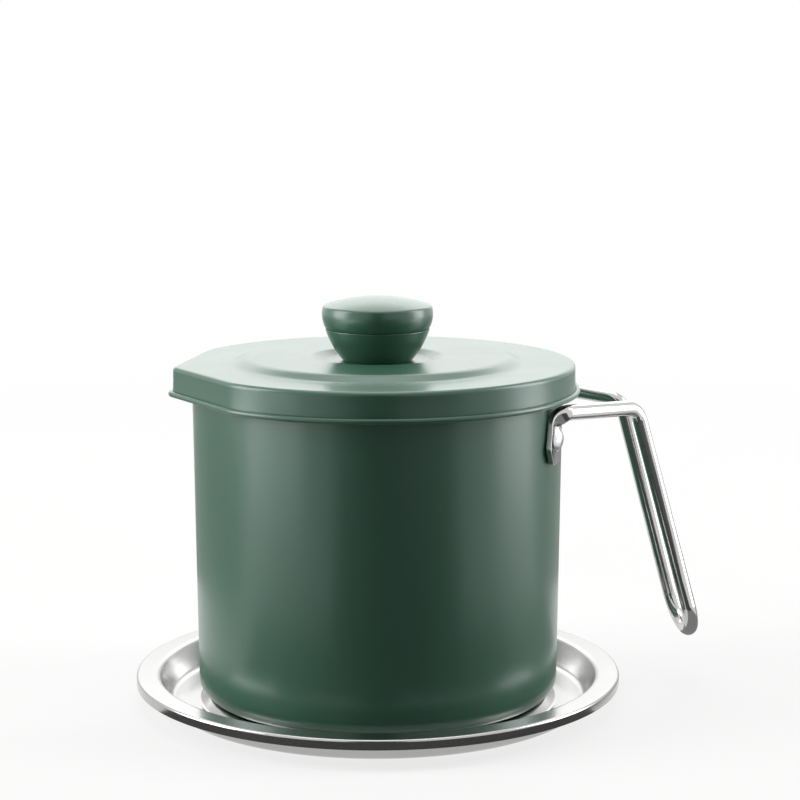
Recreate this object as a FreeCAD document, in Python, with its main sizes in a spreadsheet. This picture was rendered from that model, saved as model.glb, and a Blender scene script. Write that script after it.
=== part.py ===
"""Grease container: a drip tray, a straight pot with a pouring beak and a rod handle, a fine
strainer that hangs on the rim, and a lid with a hollow stamped knob.

Millimetres, +Z up. The origin lies on the pot's axis in the plane that the tray stands on.
The handle points along +X and the beak along -X.
"""
import FreeCAD, Part
import math
import os
import re

import Sketcher

doc = FreeCAD.newDocument("grease_container")

# Driving dimensions. Every other size and place is worked out from these.
SIZES = {
    # pot: drawn stainless sheet
    "pot_radius": 65.0,            # outside of the wall, at its top
    "pot_height": 117.3,           # underside of the base to the top of the rolled rim
    "pot_taper": 1.2,              # how much smaller the radius is at the base
    "pot_corner": 6.5,             # outside radius between wall and base
    "pot_sheet": 0.6,
    "rim_overhang": 3.1,           # outside of the rolled rim beyond the wall
    "rim_tube": 2.9,               # diameter of the roll
    "rim_bite": 0.3,               # how far the wall's inside runs into the roll
    "flare_height": 12.3,          # the wall turns to the beaked outline over this height
    "beak_reach": 2.4,             # tip of the beak beyond the circle of the rim
    "beak_flank_inset": 2.3,       # straight flanks of the beak inside the circle of the rim
    "beak_tip_radius": 4.0,
    "beak_blend_radius": 30.0,     # between the circle and a flank
    # tray: pressed sheet, with a raised ring and a raised disc that carry the pot
    "tray_margin": 21.2,           # edge of the tray beyond the pot's wall
    "tray_depth": 10.0,            # table to the underside of the flange
    "tray_sheet": 0.6,
    "tray_flange_width": 8.2,
    "tray_wall_run": 4.0,          # how far the sloping wall leans out
    "tray_lip_drop": 3.5,          # turned-down edge
    "tray_rise": 2.2,              # height of the ring and the disc over the floor
    "tray_ring_width": 3.2,        # flat top of the ring
    "tray_ring_slope": 2.9,
    "tray_channel_slope": 4.3,
    "tray_channel_width": 13.6,    # flat floor between ring and disc
    "tray_disc_slope": 3.1,
    # handle: one bent rod with both ends pressed flat into ears
    "rod_diameter": 5.5,
    "ear_angle": 34.0,             # each ear, round the pot from the +X side
    "ear_thickness": 2.0,
    "ear_width": 11.0,
    "ear_gap": 0.05,               # ear to wall
    "ear_press": 0.2,              # how far the rod's inner side lies inside the ear
    "ear_top_width": 6.0,
    "ear_widest_drop": 3.4,        # widest place of the ear, below the rivet
    "ear_rounding": 1.5,
    "ear_end_reach": 8.8,          # rivet's centre to the lower end of the ear
    "ear_end_width": 5.0,
    "handle_standoff": 26.6,       # wall to the bend of the legs
    "handle_foot_standoff": 49.8,  # wall to the turn at the lower end
    "handle_slope_drop": 3.2,      # how far an upper leg falls from ear to bend
    "handle_foot_height": 17.2,    # lower turn above the pot's base
    "handle_leg_spacing": 20.4,    # between the legs at the bend
    "handle_foot_spacing": 22.8,   # between the legs at the lower turn
    "handle_bend_radius": 7.0,
    "handle_lid_gap": 1.1,         # edge of the lid to the top of the rod
    # rivets: domed head outside, flat head inside
    "rivet_drop": 8.6,             # rivet's centre below the rod
    "rivet_shank": 4.5,
    "rivet_hole_clearance": 0.2,
    "rivet_head": 8.6,
    "rivet_head_height": 2.2,
    "rivet_tail": 7.6,
    "rivet_tail_height": 0.9,
    "rivet_edge_height": 0.5,      # straight edge under the dome of the head
    "rivet_tail_gap": 0.03,        # flat inner head to the curved wall
    # strainer: pressed pan with a ring of fine screen in its floor
    "strainer_sheet": 0.5,
    "strainer_flange_width": 7.5,
    "strainer_wall_depth": 15.0,
    "strainer_wall_run": 9.5,      # how far the bowed wall comes in
    "strainer_wall_bow": 24.0,     # radius of the wall's bow
    "strainer_floor_width": 6.5,
    "strainer_floor_drop": 1.5,
    "strainer_bead": 1.6,          # raised bead that holds the screen
    "screen_ledge": 0.9,           # floor under the screen's edge
    "screen_sheet": 0.3,
    "screen_clearance": 0.1,       # edge of the screen to the bead
    "screen_border": 4.8,          # plain edge of the screen
    "screen_hole": 1.6,
    "screen_rings": 8,
    "screen_first_ring": 6,        # holes in the innermost ring, and more in each further one
    # lid: pressed sheet with a beaked outline that follows the rim
    "lid_clearance": 0.8,          # rim to the inside of the skirt
    "lid_sheet": 0.5,
    "lid_depth": 10.4,             # top of the edge to the lower side of the bead
    "lid_corner": 1.5,
    "lid_bead": 1.7,
    "lid_disc_radius": 46.4,
    "lid_disc_slope": 4.6,
    "lid_disc_rise": 2.2,
    "lid_recess_radius": 19.0,
    "lid_recess_slope": 4.0,
    "lid_recess_drop": 1.7,
    # knob: two hollow stampings
    "knob_sheet": 0.6,
    "knob_base_radius": 12.0,
    "knob_seam_radius": 18.4,
    "knob_seam_height": 11.4,
    "knob_wall_bow": 30.0,
    "knob_cap_step": 0.3,          # cap beyond the cup at the seam
    "knob_edge_radius": 19.1,
    "knob_edge_height": 19.3,
    "knob_cap_bow": 10.5,
    "knob_dome_rise": 3.1,
    "knob_edge_rounding": 1.2,
    "knob_base_rounding": 0.5,
    # screw, washer and nut that hold the knob
    "screw_diameter": 5.0,
    "screw_hole_clearance": 0.5,
    "screw_head": 9.5,
    "screw_head_height": 2.7,
    "screw_tip": 1.0,              # screw beyond the nut
    "screw_slot_width": 1.2,
    "screw_slot_depth": 1.2,
    "nut_flats": 8.0,
    "nut_height": 4.0,
    "nut_bore_clearance": 0.2,
    "washer_diameter": 15.0,
    "washer_sheet": 1.0,
    # clearances between pieces that lift off each other
    "seat_gap": 0.2,               # strainer's flange over the rolled rim
    "lid_gap": 0.1,                # lid's edge over the strainer's flange
    "flange_clearance": 0.6,       # strainer's flange to the inside of the lid's skirt
}

sheet = doc.addObject("Spreadsheet::Sheet", "Sizes")
for row, (name, number) in enumerate(SIZES.items(), start=1):
    sheet.set("A%d" % row, name.replace("_", " "))
    sheet.set("B%d" % row, str(number))
    sheet.setAlias("B%d" % row, name)
doc.recompute()


def formula(text):
    """Point each size named in a formula at its cell."""
    return re.sub(r"[a-z][a-z_]+", lambda word: "Sizes." + word.group(0) if word.group(0) in SIZES
                  else word.group(0), text)


def value(text):
    """The number that a formula gives now."""
    return float(doc.Sizes.evalExpression(formula(text)))


def bind(thing, prop, text):
    thing.setExpression(prop, formula(text))


def dimension(sketch, constraint, name, text):
    """Add a constraint whose value is a formula."""
    number = sketch.addConstraint(constraint)
    sketch.renameConstraint(number, name)
    sketch.setExpression("Constraints." + name, formula(text))


def new_body(label, height="0"):
    """A body whose base stands at a height above the table."""
    body = doc.addObject("PartDesign::Body", label)
    bind(body, "Placement.Base.z", height)
    return body


def new_sketch(body, name, role="XZ_Plane", height=None):
    sketch = body.newObject("Sketcher::SketchObject", name)
    plane = [feature for feature in body.Origin.OriginFeatures if feature.Role == role][0]
    sketch.AttachmentSupport = [(plane, "")]
    sketch.MapMode = "FlatFace"
    if height is not None:
        bind(sketch, "AttachmentOffset.Base.z", height)
    return sketch


def profile(body, name, points, role="XZ_Plane", height=None):
    """A closed outline in a sketch. A point is two formulas, or three where an arc of the third's
    radius leads to it, turning to the left, or to the right where a minus sign comes first."""
    sketch = new_sketch(body, name, role, height)
    spots = [FreeCAD.Vector(value(point[0]), value(point[1]), 0) for point in points]
    for i, point in enumerate(points):
        start = spots[i - 1]
        end = spots[i]
        if len(point) == 2:
            sketch.addGeometry(Part.LineSegment(start, end), False)
            continue
        radius = abs(value(point[2]))
        left = value(point[2]) > 0
        chord = end - start
        across = FreeCAD.Vector(-chord.y, chord.x, 0).normalize()
        height_to_centre = math.sqrt(radius ** 2 - (chord.Length / 2) ** 2)
        centre = (start + end) / 2 + across * (height_to_centre if left else -height_to_centre)
        first, last = (start, end) if left else (end, start)
        from_angle = math.atan2(first.y - centre.y, first.x - centre.x)
        to_angle = math.atan2(last.y - centre.y, last.x - centre.x)
        circle = Part.Circle(centre, FreeCAD.Vector(0, 0, 1), radius)
        sketch.addGeometry(Part.ArcOfCircle(circle, from_angle, to_angle), False)
    turned = [len(point) == 3 and value(point[2]) < 0 for point in points]
    for i in range(len(points)):
        sketch.addConstraint(Sketcher.Constraint(
            "Coincident", i - 1 if i else len(points) - 1, 1 if turned[i - 1] else 2,
            i, 2 if turned[i] else 1))
    for i, point in enumerate(points):
        end_of = 1 if turned[i] else 2
        dimension(sketch, Sketcher.Constraint("DistanceX", -1, 1, i, end_of, spots[i].x),
                  "across_%d" % i, point[0])
        dimension(sketch, Sketcher.Constraint("DistanceY", -1, 1, i, end_of, spots[i].y),
                  "along_%d" % i, point[1])
        if len(point) == 3:
            dimension(sketch, Sketcher.Constraint("Radius", i, abs(value(point[2]))),
                      "bow_%d" % i, point[2].lstrip("-"))
    return sketch


def circle_sketch(body, name, radii, role="XY_Plane", height=None, across="0", along="0"):
    """Circles round one point of a plane."""
    sketch = new_sketch(body, name, role, height)
    centre = FreeCAD.Vector(value(across), value(along), 0)
    for i, radius in enumerate(radii):
        sketch.addGeometry(Part.Circle(centre, FreeCAD.Vector(0, 0, 1), value(radius)), False)
        dimension(sketch, Sketcher.Constraint("Radius", i, value(radius)), "radius_%d" % i, radius)
        dimension(sketch, Sketcher.Constraint("DistanceX", -1, 1, i, 3, centre.x),
                  "across_%d" % i, across)
        dimension(sketch, Sketcher.Constraint("DistanceY", -1, 1, i, 3, centre.y),
                  "along_%d" % i, along)
    return sketch


def beaked_outlines(body, name, offsets, height="0"):
    """The rim's outline seen from above, once for each offset outwards from the roll's outside:
    a circle, two straight flanks that meet in a rounded tip on the -X side, and blends between."""
    sketch = new_sketch(body, name, "XY_Plane", height)
    for turn, offset in enumerate(offsets):
        base = turn * 7
        circle = value("pot_radius + rim_overhang + " + offset)
        flank = value("pot_radius + rim_overhang - beak_flank_inset + " + offset)
        blend = value("beak_blend_radius + " + offset)
        tip = value("beak_tip_radius + " + offset)
        tip_centre = value("pot_radius + rim_overhang + beak_reach - beak_tip_radius")
        flank_turn = math.acos((flank - tip) / tip_centre)
        blend_turn = flank_turn + math.acos((flank - blend) / (circle - blend))
        angles = [0, math.pi - blend_turn, math.pi - flank_turn, math.pi + flank_turn,
                  math.pi + blend_turn, 2 * math.pi]

        def spot(length, angle, centre=FreeCAD.Vector(0, 0, 0)):
            return centre + FreeCAD.Vector(length * math.cos(angle), length * math.sin(angle), 0)

        def arc(centre, radius, number):
            whole = Part.Circle(centre, FreeCAD.Vector(0, 0, 1), radius)
            sketch.addGeometry(Part.ArcOfCircle(whole, angles[number], angles[number + 1]), False)

        origin = spot(0, 0)
        upper = spot(circle - blend, angles[1])
        lower = spot(circle - blend, angles[4])
        tip_spot = FreeCAD.Vector(-tip_centre, 0, 0)
        arc(origin, circle, 0)
        arc(upper, blend, 1)
        sketch.addGeometry(Part.LineSegment(spot(blend, angles[2], upper),
                                            spot(tip, angles[2], tip_spot)), False)
        arc(tip_spot, tip, 2)
        sketch.addGeometry(Part.LineSegment(spot(tip, angles[3], tip_spot),
                                            spot(blend, angles[3], lower)), False)
        arc(lower, blend, 3)
        arc(origin, circle, 4)
        for i in range(6):
            sketch.addConstraint(Sketcher.Constraint("Tangent", base + i, 2, base + i + 1, 1))
        sketch.addConstraint(Sketcher.Constraint("Coincident", base + 6, 2, base, 1))
        sketch.addConstraint(Sketcher.Constraint("Coincident", base, 3, -1, 1))
        sketch.addConstraint(Sketcher.Constraint("Coincident", base + 6, 3, -1, 1))
        sketch.addConstraint(Sketcher.Constraint("PointOnObject", base, 1, -1))
        sketch.addConstraint(Sketcher.Constraint("PointOnObject", base + 3, 3, -1))
        mark = "_%d" % turn
        dimension(sketch, Sketcher.Constraint("Radius", base, circle), "circle" + mark,
                  "pot_radius + rim_overhang + " + offset)
        for side in (1, 5):
            dimension(sketch, Sketcher.Constraint("Radius", base + side, blend),
                      "blend_%d" % side + mark, "beak_blend_radius + " + offset)
        dimension(sketch, Sketcher.Constraint("Radius", base + 3, tip), "tip" + mark,
                  "beak_tip_radius + " + offset)
        dimension(sketch, Sketcher.Constraint("DistanceX", base + 3, 3, -1, 1, tip_centre),
                  "tip_centre" + mark, "pot_radius + rim_overhang + beak_reach - beak_tip_radius")
        for side in (2, 4):
            dimension(sketch, Sketcher.Constraint("Distance", -1, 1, base + side, flank),
                      "flank_%d" % side + mark,
                      "pot_radius + rim_overhang - beak_flank_inset + " + offset)
    return sketch


def axis_of(body, role="Z_Axis"):
    return ([feature for feature in body.Origin.OriginFeatures if feature.Role == role][0], [""])


def revolve(body, name, sketch):
    feature = body.newObject("PartDesign::Revolution", name)
    feature.Profile = sketch
    feature.ReferenceAxis = axis_of(body)
    feature.Angle = 360
    return feature


def pad(body, name, sketch, length, reverse=False):
    feature = body.newObject("PartDesign::Pad", name)
    feature.Profile = sketch
    bind(feature, "Length", length)
    feature.Reversed = reverse
    return feature


def pocket(body, name, sketch, length, reverse=False):
    """Cut a sketch into the body, and make sure that it takes something away."""
    doc.recompute()
    before = body.Shape.Volume
    feature = body.newObject("PartDesign::Pocket", name)
    feature.Profile = sketch
    bind(feature, "Length", length)
    feature.Reversed = reverse
    doc.recompute()
    if body.Shape.Volume > before - 1e-6:
        raise RuntimeError(name + " cuts nothing")
    return feature


def fillet(body, name, radius, chosen):
    """Round the edges of the body's last feature that a test picks out."""
    doc.recompute()
    feature = body.newObject("PartDesign::Fillet", name)
    previous = feature.BaseFeature or body.Tip
    edges = ["Edge%d" % (i + 1) for i, edge in enumerate(previous.Shape.Edges) if chosen(edge)]
    feature.Base = (previous, edges)
    bind(feature, "Radius", radius)
    return feature


def level_edge(height):
    """Picks every edge that lies in a level plane."""
    def chosen(edge):
        box = edge.BoundBox
        return abs(box.ZMin - value(height)) < 1e-4 and abs(box.ZMax - value(height)) < 1e-4
    return chosen


def ring_edge(radius, height):
    """Picks the round edges that lie at a radius and a height."""
    def chosen(edge):
        if edge.Degenerated or not isinstance(edge.Curve, Part.Circle):
            return False
        level = abs(edge.Curve.Center.z - value(height)) < 1e-4
        return level and abs(edge.Curve.Radius - value(radius)) < 1e-4
    return chosen


# Drip tray: pressed stainless dish. The flat floor of its gutter stands on the table.
RING_INNER = "pot_radius - pot_taper - pot_corner"
RING_OUTER = RING_INNER + " + tray_ring_width"
CHANNEL_OUTER = RING_INNER + " - tray_channel_slope"
DISC_FOOT = CHANNEL_OUTER + " - tray_channel_width"
DISC_EDGE = DISC_FOOT + " - tray_disc_slope"
GUTTER_INNER = RING_OUTER + " + tray_ring_slope"
TRAY_EDGE = "pot_radius + tray_margin"
FLANGE_INNER = TRAY_EDGE + " - tray_flange_width"
GUTTER_OUTER = FLANGE_INNER + " - tray_wall_run"
tray_underside = [("0", "tray_rise"), (DISC_EDGE, "tray_rise"), (DISC_FOOT, "0"), (CHANNEL_OUTER, "0"),
                  (RING_INNER, "tray_rise"), (RING_OUTER, "tray_rise"), (GUTTER_INNER, "0"),
                  (GUTTER_OUTER, "0"), (FLANGE_INNER, "tray_depth")]
tray_topside = [(across, along + " + tray_sheet") for across, along in tray_underside]
tray_edge = [(TRAY_EDGE + " - tray_sheet", "tray_depth"),
             (TRAY_EDGE + " - tray_sheet", "tray_depth + tray_sheet - tray_lip_drop"),
             (TRAY_EDGE, "tray_depth + tray_sheet - tray_lip_drop"),
             (TRAY_EDGE, "tray_depth + tray_sheet")]
tray = new_body("drip_tray")
revolve(tray, "tray_pressing", profile(tray, "tray_profile",
                                       tray_underside + tray_edge + tray_topside[::-1]))
fillet(tray, "tray_edge_rounding", "0.9 * tray_sheet", ring_edge(TRAY_EDGE, "tray_depth + tray_sheet"))

# Pot: drawn cup whose wall turns to the beaked outline near the top and ends in a rolled rim.
POT_SEAT = "tray_rise + tray_sheet"
FLARE_START = "pot_height - flare_height"
ROLL_CENTRE = "pot_height - rim_tube / 2"
pot = new_body("pot_shell")
revolve(pot, "pot_cup", profile(pot, "pot_profile", [
    ("0", "0"), ("pot_radius - pot_taper", "0"), ("pot_radius", FLARE_START),
    ("pot_radius - pot_sheet", FLARE_START), ("pot_radius - pot_taper - pot_sheet", "pot_sheet"),
    ("0", "pot_sheet")]))
fillet(pot, "pot_outer_corner", "pot_corner", ring_edge("pot_radius - pot_taper", "0"))
fillet(pot, "pot_inner_corner", "pot_corner - pot_sheet",
       ring_edge("pot_radius - pot_taper - pot_sheet", "pot_sheet"))
flare = pot.newObject("PartDesign::AdditiveLoft", "pot_flare")
flare.Profile = circle_sketch(pot, "flare_foot", ["pot_radius", "pot_radius - pot_sheet"],
                              height=FLARE_START)
flare.Sections = [beaked_outlines(pot, "flare_top", ["(pot_sheet + rim_bite - rim_tube)",
                                                     "(rim_bite - rim_tube)"], ROLL_CENTRE)]
flare.Ruled = True
roll = pot.newObject("PartDesign::AdditivePipe", "rolled_rim")
roll.Spine = (beaked_outlines(pot, "roll_path", ["(0 - rim_tube / 2)"], ROLL_CENTRE), [])
roll.Profile = circle_sketch(pot, "roll_section", ["rim_tube / 2"], "XZ_Plane",
                             across="pot_radius + rim_overhang - rim_tube / 2", along=ROLL_CENTRE)
LID_TOP = "pot_height + seat_gap + strainer_sheet + lid_gap + lid_sheet"
RIVET_HEIGHT = "(" + LID_TOP + " - lid_depth - handle_lid_gap - rod_diameter / 2 - rivet_drop)"


def drilled(label, whole, length, reach):
    """A wall with a hole at each ear for a rivet's shank."""
    drills = []
    for side, sign in (("front", -1), ("rear", 1)):
        drill = doc.addObject("Part::Cylinder", label + "_drill_" + side)
        bind(drill, "Radius", "(rivet_shank + rivet_hole_clearance) / 2")
        bind(drill, "Height", length)
        drill.Placement.Rotation = (FreeCAD.Rotation(FreeCAD.Vector(0, 0, 1), sign * value("ear_angle"))
                                    * FreeCAD.Rotation(FreeCAD.Vector(0, 1, 0), 90))
        bind(drill, "Placement.Base.x", reach + " * cos(ear_angle)")
        bind(drill, "Placement.Base.y", "%d * " % sign + reach + " * sin(ear_angle)")
        bind(drill, "Placement.Base.z", RIVET_HEIGHT)
        drills.append(drill)
    both = doc.addObject("Part::MultiFuse", label + "_drills")
    both.Shapes = drills
    cut = doc.addObject("Part::Cut", label)
    cut.Base = whole
    cut.Tool = both
    return cut


pot_body = drilled("pot_body", pot, "4 * pot_sheet", "(pot_radius - 2.5 * pot_sheet)")
bind(pot_body, "Placement.Base.z", POT_SEAT)

# Handle: one round rod. Its ends are pressed into flat ears that lie on the wall, its legs run
# level to a bend, down, and into each other in a half turn.
ROD_HEIGHT = RIVET_HEIGHT + " + rivet_drop"
EAR_RADIUS = "(pot_radius + ear_gap + ear_press + rod_diameter / 2)"


def corner_arc(before, corner, after, radius):
    """The arc that rounds a corner of a path: its start, middle and end."""
    back = (before - corner).normalize()
    ahead = (after - corner).normalize()
    half = back.getAngle(ahead) / 2
    along = radius / math.tan(half)
    inwards = (back + ahead).normalize()
    middle = corner + inwards * (radius / math.sin(half) - radius)
    return corner + back * along, middle, corner + ahead * along


def handle_path():
    """The middle line of the rod, from the front ear round to the rear ear."""
    ear = FreeCAD.Vector(value(EAR_RADIUS + " * cos(ear_angle)"),
                         value(EAR_RADIUS + " * sin(ear_angle)"), value(ROD_HEIGHT))
    bend = FreeCAD.Vector(value("pot_radius + handle_standoff"), value("handle_leg_spacing / 2"),
                          value(ROD_HEIGHT + " - handle_slope_drop"))
    foot = FreeCAD.Vector(value("pot_radius + handle_foot_standoff"), value("handle_foot_spacing / 2"),
                          value("handle_foot_height"))
    front = [FreeCAD.Vector(spot.x, -spot.y, spot.z) for spot in (ear, bend, foot)]
    corners = front + [foot, bend, ear]
    across = FreeCAD.Vector(0, 1, 0)
    half_turn = (bend - foot).getAngle(-across) / 2
    foot_radius = value("handle_foot_spacing / 2") * math.tan(half_turn)
    radii = [value("handle_bend_radius"), foot_radius, foot_radius, value("handle_bend_radius")]
    edges = []
    reached = corners[0]
    for i, radius in enumerate(radii, start=1):
        start, middle, end = corner_arc(corners[i - 1], corners[i], corners[i + 1], radius)
        if (start - reached).Length > 1e-6:
            edges.append(Part.LineSegment(reached, start).toShape())
        edges.append(Part.Arc(start, middle, end).toShape())
        reached = end
    edges.append(Part.LineSegment(reached, corners[-1]).toShape())
    return Part.Wire(edges)


path = doc.addObject("Part::Feature", "handle_path")
path.Shape = handle_path()
section = doc.addObject("Part::Circle", "rod_section")
bind(section, "Radius", "rod_diameter / 2")
first_edge = path.Shape.Edges[0]
section.Placement = FreeCAD.Placement(
    first_edge.Vertexes[0].Point,
    FreeCAD.Rotation(FreeCAD.Vector(0, 0, 1), first_edge.tangentAt(first_edge.FirstParameter)))
rod = doc.addObject("Part::Sweep", "handle_rod")
rod.Sections = [section]
rod.Spine = (path, ["Edge%d" % (i + 1) for i in range(len(path.Shape.Edges))])
rod.Solid = True
handle_pieces = [rod]
for side, sign in (("front", -1), ("rear", 1)):
    elbow = doc.addObject("Part::Sphere", "elbow_" + side)
    bind(elbow, "Radius", "rod_diameter / 2")
    bind(elbow, "Placement.Base.x", EAR_RADIUS + " * cos(ear_angle)")
    bind(elbow, "Placement.Base.y", "%d * " % sign + EAR_RADIUS + " * sin(ear_angle)")
    bind(elbow, "Placement.Base.z", ROD_HEIGHT)
    ear = new_body("ear_" + side)
    outline = profile(ear, "ear_outline_" + side, [
        ("0 - ear_end_width / 2", RIVET_HEIGHT + " - ear_end_reach"),
        ("ear_end_width / 2", RIVET_HEIGHT + " - ear_end_reach"),
        ("ear_width / 2", RIVET_HEIGHT + " - ear_widest_drop"),
        ("ear_top_width / 2", ROD_HEIGHT),
        ("0 - ear_top_width / 2", ROD_HEIGHT),
        ("0 - ear_width / 2", RIVET_HEIGHT + " - ear_widest_drop")],
        "YZ_Plane", "pot_radius + ear_gap")
    pad(ear, "ear_plate_" + side, outline, "ear_thickness")
    fillet(ear, "ear_rounding_" + side, "ear_rounding",
           lambda edge: abs(edge.BoundBox.XLength - value("ear_thickness")) < 1e-4)
    bind(ear, "Placement.Rotation.Angle", "%d * ear_angle" % sign)
    handle_pieces += [elbow, ear]
blank = doc.addObject("Part::MultiFuse", "handle_blank")
blank.Shapes = handle_pieces
handle = drilled("handle", blank, "3 * ear_thickness", "(pot_radius - ear_thickness)")
bind(handle, "Placement.Base.z", POT_SEAT)

# Rivets: aluminium, domed outside and clinched flat inside, one through each ear and the wall.
WALL_INSIDE = "(pot_radius - pot_sheet - pot_taper + pot_taper * " + RIVET_HEIGHT \
    + " / (" + FLARE_START + "))"
HEAD_SEAT = "pot_radius + ear_gap + ear_thickness"
TAIL_SEAT = "sqrt(" + WALL_INSIDE + " ^ 2 - (rivet_tail / 2) ^ 2) - rivet_tail_gap"
DOME = "(rivet_head_height - rivet_edge_height)"
for side, sign in (("front", -1), ("rear", 1)):
    rivet = new_body("rivet_" + side, POT_SEAT + " + " + RIVET_HEIGHT)
    feature = revolve(rivet, "rivet_turning_" + side, profile(rivet, "rivet_profile_" + side, [
        (TAIL_SEAT + " - rivet_tail_height", "0"),
        (TAIL_SEAT + " - rivet_tail_height", "rivet_tail / 2"),
        (TAIL_SEAT, "rivet_tail / 2"), (TAIL_SEAT, "rivet_shank / 2"), (HEAD_SEAT, "rivet_shank / 2"),
        (HEAD_SEAT, "rivet_head / 2"), (HEAD_SEAT + " + rivet_edge_height", "rivet_head / 2"),
        (HEAD_SEAT + " + rivet_head_height", "0",
         "-((rivet_head / 2) ^ 2 + " + DOME + " ^ 2) / (2 * " + DOME + ")")]))
    feature.ReferenceAxis = axis_of(rivet, "X_Axis")
    bind(rivet, "Placement.Rotation.Angle", "%d * ear_angle" % sign)

# Strainer: pressed stainless pan that hangs on the rolled rim by its flange. Its height zero is
# the underside of the flange.
STRAINER_SEAT = POT_SEAT + " + pot_height + seat_gap"
PAN_EDGE = "pot_radius + rim_overhang - beak_flank_inset + lid_clearance - flange_clearance"
PAN_MOUTH = PAN_EDGE + " - strainer_flange_width"
PAN_CREASE = PAN_MOUTH + " - strainer_wall_run"
BEAD_OUTER = PAN_CREASE + " - strainer_floor_width"
BEAD_INNER = BEAD_OUTER + " - strainer_bead"
LEDGE_INNER = BEAD_INNER + " - screen_ledge"
PAN_FLOOR = "0 - strainer_wall_depth - strainer_floor_drop"
pan = new_body("strainer_pan", STRAINER_SEAT)
revolve(pan, "pan_pressing", profile(pan, "pan_profile", [
    (PAN_EDGE, "0"), (PAN_MOUTH, "0"), (PAN_CREASE, "0 - strainer_wall_depth", "-strainer_wall_bow"),
    (BEAD_OUTER, PAN_FLOOR), (LEDGE_INNER, PAN_FLOOR), (LEDGE_INNER, PAN_FLOOR + " + strainer_sheet"),
    (BEAD_INNER, PAN_FLOOR + " + strainer_sheet"),
    (BEAD_OUTER, PAN_FLOOR + " + strainer_sheet", "-0.51 * strainer_bead"),
    (PAN_CREASE + " - 1.1 * strainer_sheet", "strainer_sheet - strainer_wall_depth"),
    (PAN_MOUTH + " - 1.1 * strainer_sheet", "strainer_sheet", "strainer_wall_bow"),
    (PAN_EDGE, "strainer_sheet")]))
fillet(pan, "pan_edge_rounding", "0.45 * strainer_sheet", ring_edge(PAN_EDGE, "strainer_sheet"))

# Screen: thin perforated disc that lies on the ledge inside the bead. Its holes stand in rings,
# far fewer and larger than the real ones, and are made as one holed face because there are hundreds.
SCREEN_RADIUS = BEAD_INNER + " - screen_clearance"


def screen_shape():
    holes = [FreeCAD.Vector(0, 0, 0)]
    pitch = value("(" + SCREEN_RADIUS + " - screen_border) / screen_rings")
    for ring in range(1, int(value("screen_rings")) + 1):
        count = int(value("screen_first_ring")) * ring
        for i in range(count):
            angle = 2 * math.pi * i / count
            holes.append(FreeCAD.Vector(math.cos(angle), math.sin(angle), 0) * (pitch * ring))
    upright = FreeCAD.Vector(0, 0, 1)
    rim = Part.Wire(Part.Circle(FreeCAD.Vector(0, 0, 0), upright, value(SCREEN_RADIUS)).toShape())
    rings = [Part.Wire(Part.Circle(spot, upright, value("screen_hole / 2")).toShape())
             for spot in holes]
    return Part.Face([rim] + rings, "Part::FaceMakerBullseye").extrude(upright * value("screen_sheet"))


screen = doc.addObject("Part::Feature", "strainer_screen")
screen.Shape = screen_shape()
screen.Placement.Base.z = value(STRAINER_SEAT + " + " + PAN_FLOOR + " + strainer_sheet")

# Lid: pressed sheet. Its edge lies on the strainer's flange and its beaked skirt hangs outside
# the rim and ends in a bead. Its height zero is the underside of the edge.
LID_SEAT = STRAINER_SEAT + " + strainer_sheet + lid_gap"
SKIRT_INSIDE = "lid_clearance"
SKIRT_OUTSIDE = "lid_clearance + lid_sheet"
BEAD_HEIGHT = "lid_sheet - lid_depth + lid_bead / 2"
BEAD_OFFSET = "(lid_clearance + lid_bead / 2 + 0.4 * lid_sheet)"
RECESS_HEIGHT = "lid_disc_rise - lid_recess_drop"
SCREW_HOLE = "(screw_diameter + screw_hole_clearance) / 2"
lid = new_body("lid_shell", LID_SEAT)
pad(lid, "lid_block", beaked_outlines(lid, "skirt_outside", [SKIRT_OUTSIDE], BEAD_HEIGHT),
    "lid_depth - lid_bead / 2")
fillet(lid, "lid_outer_corner", "lid_corner", level_edge("lid_sheet"))
pocket(lid, "lid_hollow", beaked_outlines(lid, "skirt_inside", [SKIRT_INSIDE], BEAD_HEIGHT),
       "lid_depth - lid_bead / 2 - lid_sheet", True)
fillet(lid, "lid_inner_corner", "lid_corner - lid_sheet", level_edge("0"))
pocket(lid, "lid_disc_opening", circle_sketch(lid, "lid_disc_edge", ["lid_disc_radius + lid_disc_slope"],
                                              height="lid_sheet"), "lid_sheet")
revolve(lid, "lid_disc", profile(lid, "lid_disc_profile", [
    ("lid_disc_radius + lid_disc_slope", "0"), ("lid_disc_radius + lid_disc_slope", "lid_sheet"),
    ("lid_disc_radius", "lid_disc_rise + lid_sheet"),
    ("lid_recess_radius + lid_recess_slope", "lid_disc_rise + lid_sheet"),
    ("lid_recess_radius", RECESS_HEIGHT + " + lid_sheet"), (SCREW_HOLE, RECESS_HEIGHT + " + lid_sheet"),
    (SCREW_HOLE, RECESS_HEIGHT), ("lid_recess_radius", RECESS_HEIGHT),
    ("lid_recess_radius + lid_recess_slope", "lid_disc_rise"), ("lid_disc_radius", "lid_disc_rise")]))
bead = lid.newObject("PartDesign::AdditivePipe", "lid_bead_roll")
bead.Spine = (beaked_outlines(lid, "bead_path", [BEAD_OFFSET], BEAD_HEIGHT), [])
bead.Profile = circle_sketch(lid, "bead_section", ["lid_bead / 2"], "XZ_Plane",
                             across="pot_radius + rim_overhang + " + BEAD_OFFSET, along=BEAD_HEIGHT)

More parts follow.
